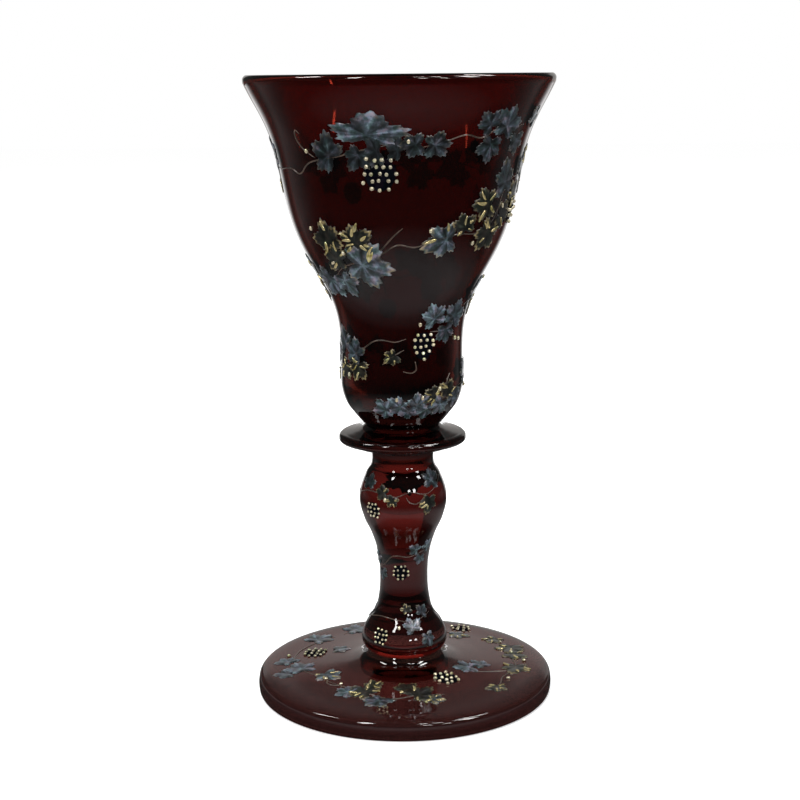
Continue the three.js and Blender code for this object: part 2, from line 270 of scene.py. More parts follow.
def ramp(tree, value, stops):
    """A colour ramp. Each stop is its place, from 0 to 1, and its colour."""
    node = add(tree, "ValToRGB", {"Fac": value})
    elements = node.color_ramp.elements
    for index, (place, colour) in enumerate(stops):
        stop = elements[index] if index < 2 else elements.new(place)
        stop.position = place
        stop.color = (*colour, 1)
    return node.outputs["Color"]


def choose(tree, mask, off, on, blend="MIX"):
    """One colour where the mask is 0 and another where it is 1."""
    inputs = {"Factor": mask, "A": off, "B": on}
    return add(tree, "Mix", inputs, data_type="RGBA", blend_type=blend).outputs["Result"]


def multiply(tree, first, second):
    return choose(tree, 1, first, second, "MULTIPLY")


def dent(tree, height, strength, depth):
    """A normal that is dented by a pattern, to a depth in millimetres."""
    inputs = {"Height": height, "Strength": strength, "Distance": depth * MM}
    return add(tree, "Bump", inputs).outputs["Normal"]


def new_material(name):
    material = bpy.data.materials.new(name)
    material.use_nodes = True
    return material, material.node_tree, material.node_tree.nodes["Principled BSDF"]


# %% [markdown]
# ## Ruby glass
# The colour of this glass is a thin deep red casing, so one wall and a solid stem look about as dark as
# each other. The Principled shader tints light each time that it goes through the surface, which is just
# that. A colour ramp on the height sets the depth of the tint. It follows an uneven casing and also paints
# light and shade into the glass: the tint is darker at the base of the bowl, the neck of the stem and the
# edge of the foot, where the glass looks dark, and redder in the knop and the bulb, where light glows
# through. A ray that comes in at a slant goes through more of it, so a Layer Weight node darkens the tint
# towards the outline. Where two pieces are fused there is no surface at all, so the faces of a joint are
# left clear.

# %% Ruby glass
# Painted light and shade by height: the darkest stops shade the glass, the reddest ones light it.
RUBY_BOWL = ((94, (0.004, 0.001, 0.001)), (102, (0.1, 0.01, 0.005)), (200, (0.16, 0.016, 0.008)))
RUBY_STEM = (
    (13, (0.014, 0.002, 0.001)), (15, (0.3, 0.02, 0.013)), (22, (0.03, 0.003, 0.003)),
    (45, (0.06, 0.005, 0.004)), (54, (0.02, 0.002, 0.001)), (60, (0.1, 0.008, 0.006)),
    (65, (0.06, 0.005, 0.004)), (73, (0.28, 0.018, 0.012)), (78, (0.02, 0.002, 0.001)),
    (86, (0.03, 0.003, 0.002)),
)
RUBY_FOOT = (
    (3.5, (0.04, 0.0035, 0.003)), (5, (0.012, 0.001, 0.001)), (6.4, (0.1, 0.008, 0.006)),
    (7, (0.1, 0.008, 0.006)), (11, (0.014, 0.002, 0.001)),
)
BOWL_SLANT = (0.35, 0.65, 0.15)
STEM_SLANT = (0.08, 0.5, 0.45)
FOOT_SLANT = (0.35, 0.65, 0.9)
GLASS_IOR = 1.5
HAZE_SCALE = 60
HAZE_ROUGHNESS = 0.05
RIPPLE_SCALE = 45
RIPPLE_STRENGTH = 0.12
RIPPLE_DEPTH = 0.5


def glass_material(name, tints, slant):
    """Clear glass tinted red by height in millimetres, with painted light and shade in the tint, which takes
    more light at a slant.
    """
    starts, ends, least = slant
    material, tree, shader = new_material(name)
    place = add(tree, "TexCoord").outputs["Object"]
    rise = add(tree, "SeparateXYZ", {"Vector": place}).outputs["Z"]
    casing_and_shade = ramp(
        tree, stretch(tree, rise, 0, HEIGHT * MM), [(height / HEIGHT, tint) for height, tint in tints]
    )
    facing = add(tree, "LayerWeight").outputs["Facing"]
    haze = add(tree, "TexNoise", {"Vector": place, "Scale": HAZE_SCALE}).outputs["Fac"]
    ripple = add(tree, "TexNoise", {"Vector": place, "Scale": RIPPLE_SCALE, "Detail": 0}).outputs["Fac"]
    wire(tree, shader, {
        "IOR": GLASS_IOR, "Transmission Weight": 1,
        "Base Color": multiply(tree, casing_and_shade, stretch(tree, facing, starts, ends, 1, least)),
        "Roughness": stretch(tree, haze, 0, 1, 0, HAZE_ROUGHNESS),
        "Normal": dent(tree, ripple, RIPPLE_STRENGTH, RIPPLE_DEPTH),
    })
    return material


ruby_bowl = glass_material("ruby_glass_bowl", RUBY_BOWL, BOWL_SLANT)
ruby_stem = glass_material("ruby_glass_stem", RUBY_STEM, STEM_SLANT)
ruby_foot = glass_material("ruby_glass_foot", RUBY_FOOT, FOOT_SLANT)
fused_joint, tree, shader = new_material("fused_joint")
wire(tree, shader, {"Alpha": 0})

# %% Dress the glass
LEVEL = 0.999
JOINT_REACH = 1e-5


def dress_glass(piece, node, material, joints):
    piece.data.materials.append(material)
    piece.data.materials.append(fused_joint)
    for face in piece.data.polygons:
        level = abs(face.normal.z) > LEVEL
        if level and any(abs(face.center.z - height * MM) < JOINT_REACH for height in joints):
            face.material_index = 1
    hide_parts(node)
    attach(piece, "root")
    print(piece.name, "takes the place of", node)


dress_glass(bowl, "bowl", ruby_bowl, [BOWL_BASE])
dress_glass(collar, "collar", ruby_stem, [BOWL_BASE, STEM_TOP])
dress_glass(stem, "stem", ruby_stem, [STEM_TOP, FOOT_TOP])
dress_glass(foot, "foot", ruby_foot, [FOOT_TOP])

# %% [markdown]
# ## Laying enamel on the glass
# The painter works on a curved wall, but a leaf is easier to shape on a flat table. So each touch of
# enamel is modelled flat, at its real size, and then laid on the glass. Its width goes round the axis,
# its length goes up the outline and its thickness stands off the surface. A place on the bowl or the stem
# is a bearing and a height, and a place on the foot is a bearing and a radius. Bearings are degrees to
# the right of the front.

# %% Laying helpers
GLASS = {"bowl": (bowl_line, 1), "stem": (stem_line, 1), "foot": (foot_line, 0)}


def length_at(glass, station):
    line, column = GLASS[glass]
    for low, high in zip(line, line[1:]):
        share = (station - low[column]) / (high[column] - low[column])
        if 0 <= share <= 1:
            return low[2] + share * (high[2] - low[2])
    raise ValueError(f"{station} is not on the {glass}")


def lay(glass, bearing, length, across=0, along=0, lift=0):
    line = GLASS[glass][0]
    length = min(max(length + along, 0), line[-1][2])
    index = bisect.bisect(line, length, 1, len(line) - 1, key=lambda station: station[2])
    radius, height, passed = line[index - 1]
    out, up, step = (high - low for low, high in zip(line[index - 1], line[index]))
    share = (length - passed) / step
    radius += share * out
    angle = math.radians(bearing) + across / radius
    radius += lift * up / step
    height += share * up - lift * out / step
    return Vector((radius * math.sin(angle), -radius * math.cos(angle), height)) * MM


def turned(across, along, turn):
    """A flat place, turned anticlockwise by an angle in degrees."""
    slant = math.radians(turn)
    return (
        across * math.cos(slant) - along * math.sin(slant),
        across * math.sin(slant) + along * math.cos(slant),
    )


print("bowl wall", round(bowl_line[-1][2], 1), "mm up the outline")

# %% [markdown]
# ## A vine leaf blank
# A vine leaf has five toothed lobes. The painter fills each lobe with a thick stroke of enamel, so the
# lobes stand up like petals with dark grooves between them. A low disc gives the right start: its top is
# inset into rings, which become the rounded edge, the swell of the lobes and the middle of the leaf. Its
# 120 sides give each small tooth five points.

# %% Leaf blank
LEAF_POINTS = 120
LEAF_RINGS = (0.95, 0.89, 0.8, 0.56, 0.3, 0.1)
UNDERSIDE_RINGS = LEAF_RINGS[3:]
FACING = 0.9

bpy.ops.mesh.primitive_cylinder_add(vertices=LEAF_POINTS, radius=1, depth=1)
leaf_blank = bpy.context.object
mode("EDIT")
for side, rings in ((1, LEAF_RINGS), (-1, UNDERSIDE_RINGS)):
    pick(leaf_blank, "faces", lambda face: face.normal.z * side > FACING)
    edge = 1
    for ring in rings:
        bpy.ops.mesh.inset(thickness=edge - ring)
        edge = ring
    bpy.ops.mesh.merge(type="CENTER")
mode("OBJECT")
bpy.ops.object.shade_smooth()
print("leaf blank", len(leaf_blank.data.vertices), "points")

# %% [markdown]
# ## Shaping a leaf
# Every leaf is a copy of the blank. Its reach in each direction comes from the five lobes and their
# teeth, and seeded numbers sway and stretch the lobes, so that no two leaves are alike. Two values are
# kept on its points for the material. Tone is how pale the leaf is drawn there: fine streaks of the brush
# in the enamel, a darker outer edge with a paler line just inside it, and painted shade in the grooves
# between the lobes. Gilt is how much gold was brushed over it. Leaves with the most gold are painted over
# a dark olive.

# %% Leaf
LOBES = ((0, 1.16), (60, 1.06), (-60, 1.06), (120, 0.86), (-120, 0.86))
LOBE_WIDTH = 42
LOBE_DRAW = 0.52
LOBE_ROUND = 1.4
LOBE_SWAY = (-9, 9)
LOBE_STRETCH = (0.84, 1.1)
HALF_LOBE = 30
TEETH = 24
TOOTH_DEPTH = 0.12
LEAF_STEM_NOTCH = 0.3
LEAF_LIFT = {1: 0.05, 0.95: 0.22, 0.89: 0.3, 0.8: 0.34, 0.56: 0.32, 0.3: 0.24, 0.1: 0.16, 0: 0.16}
SINK = -0.04
GROOVE_RING = 0.9
GROOVE_DEPTH = 0.18
GROOVE_SHADE = 1.5
HEART_RING = 0.2
PALE_LOBE = 1.05
GROOVE_PAINTED_SHADE = 0.28
EDGE_TONES = {1: 0.55, 0.95: 1.35, 0.89: 1.15}
STREAKS = (7, 12, 19)
STREAK_DEPTH = 0.17
GILT_RINGS = (0.95, 0.89)
EDGE_GILT = 0.5
GILDED = 0.55
OLIVE_TONE = 0.65


def leaf_reach(degrees, lobes):
    reach, nearest = LEAF_STEM_NOTCH, 180
    for middle, length in lobes:
        off = abs((degrees - middle + 180) % 360 - 180)
        reach = max(reach, length * (1 - LOBE_DRAW * (off / LOBE_WIDTH) ** LOBE_ROUND))
        nearest = min(nearest, off)
    tooth = 0.5 - 0.5 * math.cos(math.radians(nearest * TEETH))
    return reach * (1 - TOOTH_DEPTH * tooth), min(nearest / HALF_LOBE, 1)


def copy_of(blank):
    piece = bpy.data.objects.new("enamel", blank.data.copy())
    bpy.context.collection.objects.link(piece)
    return piece


def coat(piece, material, tones_and_shades, gilts):
    """Keep the tone and the gilt of each point, or one value for all, and give the piece its enamel."""
    for name, values in (("tone_and_shade", tones_and_shades), ("gilt", gilts)):
        values = values if isinstance(values, list) else [values] * len(piece.data.vertices)
        piece.data.attributes.new(name, "FLOAT", "POINT").data.foreach_set("value", values)
    piece.data.materials.append(material)


def leaf(glass, bearing, station, size, turn, tone_and_shade, gilt, wide=1):
    chance = random.Random(f"{glass} {bearing} {station}")
    lobes = [(middle + chance.uniform(*LOBE_SWAY), length * chance.uniform(*LOBE_STRETCH))
             for middle, length in LOBES]
    waves = [(count, chance.uniform(0, 2 * math.pi)) for count in STREAKS]
    start = length_at(glass, station)
    tones_and_shades, gilts = [], []
    piece = copy_of(leaf_blank)
    for vertex in piece.data.vertices:
        ring = math.hypot(vertex.co.x, vertex.co.y)
        ring = min(LEAF_LIFT, key=lambda known: abs(known - ring))
        angle = math.atan2(vertex.co.x, vertex.co.y)
        reach, groove = leaf_reach(math.degrees(angle), lobes)
        inner = ring if ring < GROOVE_RING else 0
        lift = SINK if vertex.co.z < 0 else LEAF_LIFT[ring] - GROOVE_DEPTH * inner * groove ** 2
        out = ring * size * reach
        flat = turned(out * math.sin(angle) * wide, out * math.cos(angle) / wide, turn)
        vertex.co = lay(glass, bearing, start, *flat, lift)
        shade = groove ** GROOVE_SHADE * (ring > HEART_RING)
        streak = 1 + STREAK_DEPTH * sum(math.cos(count * angle + phase) for count, phase in waves)
        edge = EDGE_TONES.get(ring, 1)
        # Painted shade darkens the grooves between the lobes.
        tones_and_shades.append(tone_and_shade * edge * streak * (PALE_LOBE + (GROOVE_PAINTED_SHADE - PALE_LOBE) * shade))
        gilts.append(gilt * EDGE_GILT * (ring in GILT_RINGS) * (1 - groove))
    olive = gilt > GILDED and tone_and_shade < OLIVE_TONE
    coat(piece, olive_lustre if olive else silver_lustre, tones_and_shades, gilts)
    return piece


# %% [markdown]
# ## Beads and brushed gold
# The grapes are drops of thick cream enamel, and longer drops of pale gold lie along some lobes.
# One small ball serves for both. It is flattened where it meets the glass, and pulled long for a brush
# stroke. The middle of a long stroke sinks as it dries, and its tone there is darkened as painted shade,
# which leaves a bright rim round a darker hollow. On a bead the tone is darker at its foot and paler
# towards its top, as painted shade and a painted highlight.

# %% Drop
BEAD_SIDES = 12
BEAD_RINGS = 5
BEAD_FLAT = 0.85
BEAD_FOOT_PAINTED_SHADE = 0.45
BEAD_PAINTED_HIGHLIGHT_RISE = 0.9
STROKE_SHARE = 2
STROKE_TAPER = 0.4
HOLLOW_EDGE = 4
HOLLOW_DEPTH = 0.6
HOLLOW_PAINTED_SHADE = 0.8
DROP_GILT = 0.5

bpy.ops.mesh.primitive_uv_sphere_add(segments=BEAD_SIDES, ring_count=BEAD_RINGS, radius=1)
drop_blank = bpy.context.object
mode("EDIT")
bpy.ops.mesh.select_all(action="SELECT")
bpy.ops.transform.resize(value=(1, 1, BEAD_FLAT))
mode("OBJECT")
bpy.ops.object.shade_smooth()


def drop(glass, bearing, station, width, length, lift, turn=0, across=0, along=0, tone_and_shade=1, bend=0):
    piece = copy_of(drop_blank)
    start = length_at(glass, station)
    stroke = length > STROKE_SHARE * width
    tones_and_shades = []
    for vertex in piece.data.vertices:
        top = max(0, vertex.co.z / BEAD_FLAT)
        dip = top ** HOLLOW_EDGE if stroke else 0
        taper = STROKE_TAPER * vertex.co.y if stroke else 0
        x, y = turned(
            vertex.co.x * width * (1 - taper) + bend * length * vertex.co.y ** 2, vertex.co.y * length, turn
        )
        rise = lift + (vertex.co.z - HOLLOW_DEPTH * dip) * width
        vertex.co = lay(glass, bearing, start, across + x, along + y, rise)
        # Painted shade in a stroke's hollow; on a bead, painted shade at its foot and a painted highlight on
        # its top.
        tones_and_shades.append(tone_and_shade * (1 - HOLLOW_PAINTED_SHADE * dip if stroke else BEAD_FOOT_PAINTED_SHADE + BEAD_PAINTED_HIGHLIGHT_RISE * top))
    coat(piece, pale_gilt if stroke else bead_cream, tones_and_shades, DROP_GILT)
    return piece


print("drop", len(drop_blank.data.polygons), "faces")

# %% [markdown]
# ## Stalks and tendrils
# The stalk is a thin trailed line. A curve with a round bevel follows the glass through a few places and
# is then turned into a mesh, which keeps the line even where the outline bends.

# %% Stalk
STALK_THICKNESS = {"bowl": 0.26, "stem": 0.2, "foot": 0.26}
STALK_STEP = 2.5
STALK_CURVE_STEPS = 2
STALK_ROUNDING = 1
STALK_TAPER = 0.5
STALK_SINK = -0.1
STALK_TONE = 0.8
STALK_GILT = 0.25


def between(before, low, high, after, share):
    """A smooth value through four numbers, between the two in the middle."""
    slope_low, slope_high = (high - before) / 2, (after - low) / 2
    curve = 2 * low - 2 * high + slope_low + slope_high
    bend = 3 * high - 3 * low - 2 * slope_low - slope_high
    return ((curve * share + bend) * share + slope_low) * share + low


def stalk(glass, places):
    thickness = STALK_THICKNESS[glass]
    marks = [(bearing, length_at(glass, station)) for bearing, station in places]
    marks = [marks[0]] + marks + [marks[-1]]
    points = []
    for first, low, high, last in zip(marks, marks[1:], marks[2:], marks[3:]):
        span = (lay(glass, *high) - lay(glass, *low)).length / MM
        steps = max(2, math.ceil(span / STALK_STEP))
        for step in range(steps):
            points.append([between(*four, step / steps) for four in zip(first, low, high, last)])
    points.append(marks[-1])
    sink = STALK_SINK * thickness
    piece, knots = curve_through([lay(glass, *point, lift=sink) for point in points])
    for index, knot in enumerate(knots):
        knot.radius = 1 - STALK_TAPER * (2 * index / (len(points) - 1) - 1) ** 2
    piece.data.resolution_u = STALK_CURVE_STEPS
    piece.data.bevel_depth = thickness * MM
    piece.data.bevel_resolution = STALK_ROUNDING
    piece.data.use_fill_caps = True
    bpy.ops.object.convert(target="MESH")
    mode("EDIT")
    close_up()
    bpy.ops.object.shade_smooth()
    coat(piece, stalk_brown, STALK_TONE, STALK_GILT)
    return piece


# %% [markdown]
# ## Enamel finishes
# The leaves are a silver lustre that fires to grey with teal, blue and rose in it. The stalks are a brown
# gold, the strokes a pale gold and the beads a cream, and the grapes lie on a bed painted nearly black and
# without shine, as the shade between them. All of them are uneven from the brush and the kiln, so one
# group of nodes gives each finish its fine mottling, the slow drift of its tint and its small dents.

# %% Kiln group
KILN_SIZES = (("Patch", 300), ("Grain", 2500))
KILN_NOISES = (("Mottle", "Patch", 4, 6), ("Drift", "Patch", 1, 5), ("Dents", "Grain", 2, 5))
KILN_ROUGHNESS = 0.62


def kiln_group():
    """Three noises for the outputs, each with the input that sizes it, its detail and its own seed."""
    group = bpy.data.node_groups.new("kiln", "ShaderNodeTree")
    for name, value in KILN_SIZES:
        socket = group.interface.new_socket(name, in_out="INPUT", socket_type="NodeSocketFloat")
        socket.default_value = value
    for name, *_ in KILN_NOISES:
        group.interface.new_socket(name, in_out="OUTPUT", socket_type="NodeSocketFloat")
    inside, outside = group.nodes.new("NodeGroupInput"), group.nodes.new("NodeGroupOutput")
    place = add(group, "TexCoord").outputs["Object"]
    for name, size, detail, seed in KILN_NOISES:
        inputs = {"Vector": place, "Scale": inside.outputs[size], "Detail": detail, "W": seed}
        noise = add(group, "TexNoise", {**inputs, "Roughness": KILN_ROUGHNESS}, noise_dimensions="4D")
        wire(group, outside, {name: noise.outputs["Fac"]})
    return group


kiln = kiln_group()
print("kiln group", [item.name for item in kiln.interface.items_tree])

# %% Enamel materials
MOTTLE_RANGE = (0.32, 0.68)
DRIFT_RANGE = (0.38, 0.62)
GILT_RANGE = (0.35, 0.55)
GILT_METAL = 0.3
ROUGH_SPREAD = 0.1
COAT_WEIGHT = 0.5
COAT_ROUGHNESS = 0.08
DENT_DEPTH = 0.15


def evenly(colours, first, last):
    """The stops of a ramp with its colours evenly spaced between two places."""
    step = len(colours) - 1
    return [(first + (last - first) * index / step, colour) for index, colour in enumerate(colours)]


def enamel(name, colours, casts, gold, rough, metal, dents, patch, shift=0):
    """Fired enamel: colours by mottling, tinted by a slow drift, paler by tone, gold by gilt."""
    material, tree, shader = new_material(name)
    fired = add(tree, "Group", {"Patch": patch}, node_tree=kiln).outputs
    tone_and_shade = add(tree, "Attribute", attribute_name="tone_and_shade").outputs["Fac"]
    gilt = add(tree, "Attribute", attribute_name="gilt").outputs["Fac"]
    hue = maths(tree, "MULTIPLY_ADD", tone_and_shade, shift, fired["Mottle"])
    colour = ramp(tree, hue, evenly(colours, *MOTTLE_RANGE))
    cast = ramp(tree, fired["Drift"], evenly(casts, *DRIFT_RANGE))
    paler = multiply(tree, multiply(tree, colour, cast), tone_and_shade)
    brushed = maths(tree, "MULTIPLY", stretch(tree, fired["Drift"], *GILT_RANGE), gilt)
    wire(tree, shader, {
        "Coat Weight": COAT_WEIGHT, "Coat Roughness": COAT_ROUGHNESS,
        "Base Color": choose(tree, brushed, paler, gold),
        "Roughness": stretch(tree, fired["Mottle"], 0, 1, rough - ROUGH_SPREAD, rough + ROUGH_SPREAD),
        "Metallic": stretch(tree, brushed, 0, 1, metal, metal + GILT_METAL),
        "Normal": dent(tree, fired["Dents"], dents, DENT_DEPTH),
    })
    return material


SILVERS = (
    (0.009, 0.013, 0.013), (0.021, 0.033, 0.034), (0.044, 0.06, 0.064), (0.082, 0.094, 0.116),
    (0.2, 0.2, 0.24),
)
OLIVES = ((0.006, 0.007, 0.005), (0.02, 0.021, 0.014), (0.042, 0.04, 0.025), (0.09, 0.085, 0.06))
BROWNS = ((0.03, 0.018, 0.015), (0.1, 0.066, 0.055))
PALE_GOLDS = ((0.3, 0.19, 0.045), (0.66, 0.5, 0.19), (1, 0.92, 0.55))
CREAMS = ((0.3, 0.22, 0.1), (0.66, 0.57, 0.36), (1, 0.95, 0.78))
BED_SHADE_COLOURS = ((0.002, 0.002, 0.003), (0.006, 0.005, 0.008))
LEAF_CASTS = ((0.62, 0.95, 0.86), (0.72, 0.88, 1), (1, 0.84, 0.9))
GOLD_CASTS = ((0.86, 1, 0.85), (1, 1, 1), (1, 0.86, 0.8))
LEAF_GOLD = (0.62, 0.47, 0.2, 1)
STALK_GOLD = (0.2, 0.145, 0.095, 1)
STROKE_GOLD = (0.95, 0.84, 0.44, 1)
BEAD_GOLD = (0.95, 0.88, 0.66, 1)
BED_GOLD = (0.02, 0.02, 0.02, 1)
LUSTRE = (0.34, 0.1, 0.5, 420)
STALK_FINISH = (0.35, 0.1, 0.3, 300)
DROP_FINISH = (0.2, 0.45, 0.12, 500)
BED_FINISH = (0.5, 0, 0.3, 500)

silver_lustre = enamel("silver_lustre", SILVERS, LEAF_CASTS, LEAF_GOLD, *LUSTRE, shift=0.1)
olive_lustre = enamel("olive_lustre", OLIVES, LEAF_CASTS, LEAF_GOLD, *LUSTRE)
stalk_brown = enamel("stalk_brown", BROWNS, GOLD_CASTS, STALK_GOLD, *STALK_FINISH)
pale_gilt = enamel("pale_gilt", PALE_GOLDS, GOLD_CASTS, STROKE_GOLD, *DROP_FINISH)
bead_cream = enamel("bead_cream", CREAMS, GOLD_CASTS, BEAD_GOLD, *DROP_FINISH)
grape_bed_shade = enamel("grape_bed_shade", BED_SHADE_COLOURS, LEAF_CASTS, BED_GOLD, *BED_FINISH)
# The bed is painted nearly black and has no shine, as painted shade between the beads.
tree = grape_bed_shade.node_tree
wire(tree, tree.nodes["Principled BSDF"], {"Coat Weight": 0, "Specular IOR Level": 0})
print(len(bpy.data.materials), "materials")

# %% [markdown]
# ## A bunch of grapes
# A bunch is rows of beads, widest near the top, on a bed that keeps them apart and is painted dark as
# the shade between them. The bed is the leaf blank again with a round outline. Each bead is nudged and
# sized by a seeded number, as drops from a brush are.

# %% Bunch
BEAD_SHARE = 0.28
BEAD_SIZES = (0.85, 1.1)
BEAD_NUDGE = (-0.16, 0.16)
BEAD_RISE = 0.5
BEAD_TONES = (0.5, 1.3)
ROW_SHARE = 0.95
BED_WIDTH = 0.92
BED_MARGIN = 0.3
BED_EDGE = 0.02
BED_SWELL = 0.12
BED_WAIST = 0.88
BED_SHOULDER = 0.08


def bunch(glass, bearing, station, rows, pitch, tone_and_shade):
    chance = random.Random(f"bunch {glass} {bearing}")
    height = (len(rows) - 1) * pitch * ROW_SHARE
    bead = pitch * BEAD_SHARE
    pieces = []
    for row, count in enumerate(rows):
        for place in range(count):
            pieces.append(drop(
                glass, bearing, station, bead * chance.uniform(*BEAD_SIZES), bead, bead * BEAD_RISE,
                across=(place - (count - 1) / 2 + chance.uniform(*BEAD_NUDGE)) * pitch,
                along=height / 2 - (row + chance.uniform(*BEAD_NUDGE)) * pitch * ROW_SHARE,
                tone_and_shade=tone_and_shade * chance.uniform(*BEAD_TONES),
            ))
    bed = copy_of(leaf_blank)
    start = length_at(glass, station)
    half_width = max(rows) / 2 * pitch * BED_WIDTH
    half_height = height / 2 + pitch * BED_MARGIN
    for vertex in bed.data.vertices:
        lift = SINK if vertex.co.z < 0 else BED_EDGE + BED_SWELL * (1 - vertex.co.xy.length_squared)
        narrow = BED_WAIST + BED_SHOULDER * vertex.co.y
        vertex.co = lay(
            glass, bearing, start, vertex.co.x * half_width * narrow, vertex.co.y * half_height, lift
        )
    coat(bed, grape_bed_shade, 1, 0)
    return pieces + [bed]


def glass_of(node):
    return node.split("_")[0]


def fire_on(node, pieces):
    """Join what was painted as one piece and give it the place of its CAD solid."""
    bpy.ops.object.select_all(action="DESELECT")
    for piece in pieces:
        piece.select_set(True)
    bpy.context.view_layer.objects.active = pieces[0]
    bpy.ops.object.join()
    painted = bpy.context.object
    painted.name = painted.data.name = "enamel_" + node
    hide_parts(node)
    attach(painted, "root")
    print(painted.name, len(painted.data.polygons), "faces")


# The last number is each bunch's tone; above 1 it is partly a painted highlight on beads that catch the
# lamps.
BUNCHES = (
    ("bowl_grapes_1", -9, 171.5, (4, 4, 5, 5, 3), 2.35, 0.6),
    ("bowl_grapes_2", -152, 161, (3, 4, 3, 2), 2.2, 1),
    ("bowl_grapes_3", -236, 158, (3, 4, 3, 2), 2.2, 1),
    ("bowl_grapes_4", 74, 158, (3, 4, 3, 2), 2.2, 1),
    ("bowl_grapes_5", -166, 125, (3, 4, 3, 2), 2, 1),
    ("bowl_grapes_6", 20, 117.5, (3, 4, 4, 3, 1), 2, 1.4),
    ("stem_grapes_knop", -43, 63, (3, 4, 4, 3), 1.5, 1.2),
    ("stem_grapes_waist", -7, 41.2, (3, 4, 4, 2), 1.5, 1),
    ("stem_grapes_base", -35, 20.5, (3, 4, 4, 3), 1.5, 1.4),
    ("foot_grapes_left", -108, 32, (3, 4, 4, 3), 2.2, 0.5),
    ("foot_grapes_right", 38, 22, (3, 4, 4, 3), 2.2, 1.4),
    ("foot_grapes_back", 150, 40, (3, 4, 3), 2.2, 0.8),
)
for node, *values in BUNCHES:
    fire_on(node, bunch(glass_of(node), *values))

# %% [markdown]
# ## Touches of gold
# On some leaves the painter laid thick strokes of gold along both sides of the lobes, so that those
# leaves sparkle. Which sides get one, and how it bends, is left to a seeded number.

# %% Touches of gold
TOUCH_SHARE = 0.52
TOUCH_SPLAY = (5, 16)
TOUCH_OUT = (0.42, 0.7)
TOUCH_WIDTH = 0.46
BROAD_LEAF = 6
TOUCH_WIDTHS = (0.6, 1.2)
TOUCH_LENGTHS = (0.15, 0.38)
TOUCH_LIFT = 0.34
TOUCH_SWING = (-20, 20)
TOUCH_TONES = (0.5, 1.2)
TOUCH_BEND = (-0.3, 0.3)


def touches(glass, bearing, station, size, turn, gilt):
    chance = random.Random(f"gold {glass} {bearing} {station}")
    broadest = TOUCH_WIDTH * min(1, size / BROAD_LEAF)
    pieces = []
    for middle, length in LOBES:
        for side in (-1, 1):
            if gilt < GILDED or chance.random() > gilt * TOUCH_SHARE:
                continue
            way = turn - middle + side * chance.uniform(*TOUCH_SPLAY)
            across, along = turned(0, size * length * chance.uniform(*TOUCH_OUT), way)
            pieces.append(drop(
                glass, bearing, station, broadest * chance.uniform(*TOUCH_WIDTHS),
                size * chance.uniform(*TOUCH_LENGTHS), TOUCH_LIFT,
                way + chance.uniform(*TOUCH_SWING), across, along,
                chance.uniform(*TOUCH_TONES), chance.uniform(*TOUCH_BEND),
            ))
    return pieces


# %% [markdown]
# ## The garland
# Each spray is a few stalks with leaves, curled tendrils and small dots. A leaf is its bearing, its
# station, its size, the turn of its tip, its tone, its gilding and, for a broad or a slim one, its width.
# On the front the sprays follow the photograph. On the hidden side the garland goes on round the glass,
# as full as on the front.

# %% Spray
DOT_SHAPE = (0.55, 0.75, 0.3)


def paint(node, stalks, leaves, dots):
    glass = glass_of(node)
    pieces = [leaf(glass, *values) for values in leaves]
    for bearing, station, size, turn, _, gilt, *_ in leaves:
        pieces += touches(glass, bearing, station, size, turn, gilt)
    pieces += [stalk(glass, places) for places in stalks]
    pieces += [drop(glass, *place, *DOT_SHAPE) for place in dots]
    fire_on(node, pieces)


# %% Bowl, top turn
paint("bowl_vine_1", stalks=[
    [(62, 185), (52, 183.5), (44, 184), (36, 181.5), (28, 182.5), (18, 180.5), (8, 179)],
    [(-4, 180), (-16, 178.5), (-28, 176.5), (-44, 174.5), (-52, 171), (-60, 172.5), (-71.8, 171.8)],
    [(-40, 176), (-46, 178.5), (-49, 181.5), (-48, 184), (-46, 183)],
], leaves=[
    (-32, 176.8, 7.2, 60, 0.4, 0.15, 1.1), (-18, 177, 4.8, 150, 0.34, 0.1),
    (-10, 178, 4.6, 100, 0.3, 0.1, 1.2), (-1, 178.4, 4, 60, 0.3, 0.1, 1.2),
    (-13.6, 182.9, 9.4, -4, 0.9, 0.2, 1.46), (6.5, 180, 5, 95, 0.45, 0.2, 0.9),
    (14.5, 179.8, 5.2, -80, 0.42, 0.2, 0.9), (49, 184.5, 7.4, -10, 0.7, 0.1), (39, 185.5, 5, 40, 0.5, 0.1),
    (42, 179.5, 5.4, 175, 0.5, 0.1), (60, 180.5, 5, 190, 0.5, 0.2), (71, 186.5, 4.4, -20, 0.7, 0.4),
], dots=[(-44, 178), (3.5, 181)])
